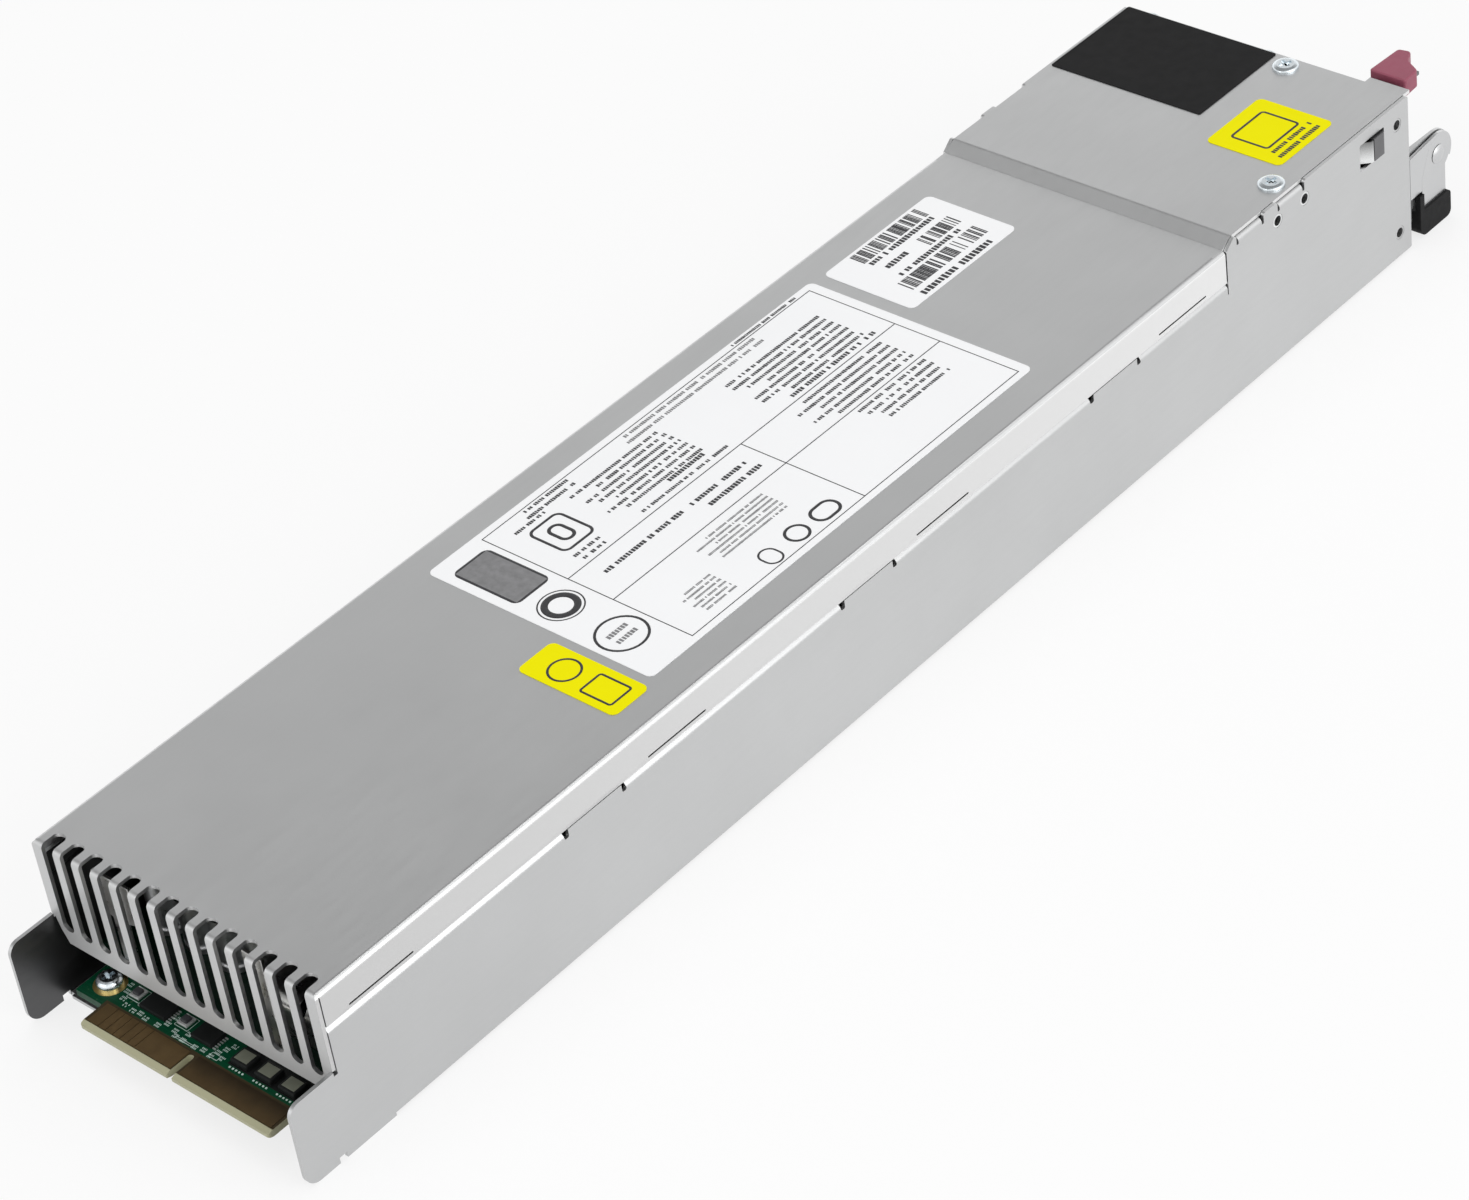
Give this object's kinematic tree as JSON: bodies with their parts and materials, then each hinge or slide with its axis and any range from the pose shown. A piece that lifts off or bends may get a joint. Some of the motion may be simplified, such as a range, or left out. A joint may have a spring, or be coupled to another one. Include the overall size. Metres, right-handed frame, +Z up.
{
  "type": "hot swap server power supply",
  "caption": "Long flat hot swap power supply module with a vented card-edge end, a rear fan, mains inlet, folding pull handle and spring latch.",
  "frame": {"origin": "on the bottom plane, at mid width and midway between the vented lip and the rear panel", "axes": "+Z up, +Y towards the fan and mains inlet, +X towards the wall with the latch window"},
  "size_m": [0.0768, 0.3649, 0.0413],
  "materials": {
    "sheet_steel": "satin zinc-coated sheet",
    "zinc_steel": "bright zinc",
    "spring_steel": "bright",
    "black_plastic": "fine grain",
    "maroon_plastic": "satin",
    "fan_plastic": "satin",
    "lamp": "clear",
    "brass": "turned",
    "tinned_brass": "tinned",
    "board": "green solder mask",
    "gold": "gold flash",
    "black_film": "matt film",
    "chip": "moulded",
    "ferrite": "matt",
    "copper": "enamelled copper",
    "tape": "polyester tape",
    "aluminium": "mill",
    "can_sleeve": "shrink sleeve",
    "box_plastic": "moulded case",
    "relay_plastic": "moulded case",
    "white_paper": "satin label",
    "yellow_paper": "satin label",
    "header_plastic": "moulded"
  },
  "bodies": {
    "chassis": {"chassis_tray": "sheet_steel", "top_cover": "sheet_steel", "cover_screws": "zinc_steel", "rear_panel": "sheet_steel", "handle_brackets": "sheet_steel", "handle_rivets": "zinc_steel", "latch_foot": "spring_steel", "fan_frame": "fan_plastic", "fan_bearing": "brass", "fan_stator": "copper", "fan_guard": "zinc_steel", "fan_screws": "zinc_steel", "inlet_body": "black_plastic", "inlet_pins": "tinned_brass", "status_lamp": "lamp", "main_board": "board", "edge_contacts": "gold", "insulating_sheet": "black_film", "board_standoffs": "zinc_steel", "board_screws": "zinc_steel", "logic_chips": "chip", "filter_coils": "ferrite", "output_transistors": "chip", "output_capacitors": "aluminium", "output_bars": "copper", "secondary_heatsink": "aluminium", "transformer_core": "ferrite", "transformer_winding": "tape", "resonant_choke": "ferrite", "primary_heatsink": "aluminium", "primary_transistors": "chip", "control_board": "board", "standby_transformer": "tape", "bulk_capacitors": "can_sleeve", "boost_core": "ferrite", "boost_winding": "copper", "bridge_rectifier": "chip", "line_choke_core": "ferrite", "line_choke_winding": "copper", "line_capacitor": "box_plastic", "line_relay": "relay_plastic", "line_fuse": "lamp", "fan_header": "header_plastic", "rating_label": "white_paper", "serial_label": "white_paper", "yellow_strip": "yellow_paper", "yellow_square": "yellow_paper", "fan_film": "black_film"},
    "handle": {"handle_bail": "spring_steel", "handle_grip": "black_plastic"},
    "latch": {"latch_arm": "spring_steel", "latch_catch": "spring_steel", "latch_tab": "maroon_plastic"},
    "fan_rotor": {"fan_rotor": "fan_plastic", "fan_shaft": "zinc_steel"}
  },
  "joints": [
    {"name": "handle_swing", "type": "hinge", "parent": "chassis", "child": "handle", "pos_m": [0, 0.18, 0.018], "axis": [1, 0, 0], "range_deg": [0, 90]},
    {"name": "latch_flex", "type": "hinge", "parent": "chassis", "child": "latch", "pos_m": [0.0344, 0.13635, 0.0337], "axis": [0, 0, 1], "range_deg": [0, 6], "stiffness_Nm_per_rad": 1.2},
    {"name": "fan_spin", "type": "hinge", "parent": "chassis", "child": "fan_rotor", "pos_m": [-0.0159, 0.15, 0.02], "axis": [0, 1, 0], "continuous": true}
  ]
}
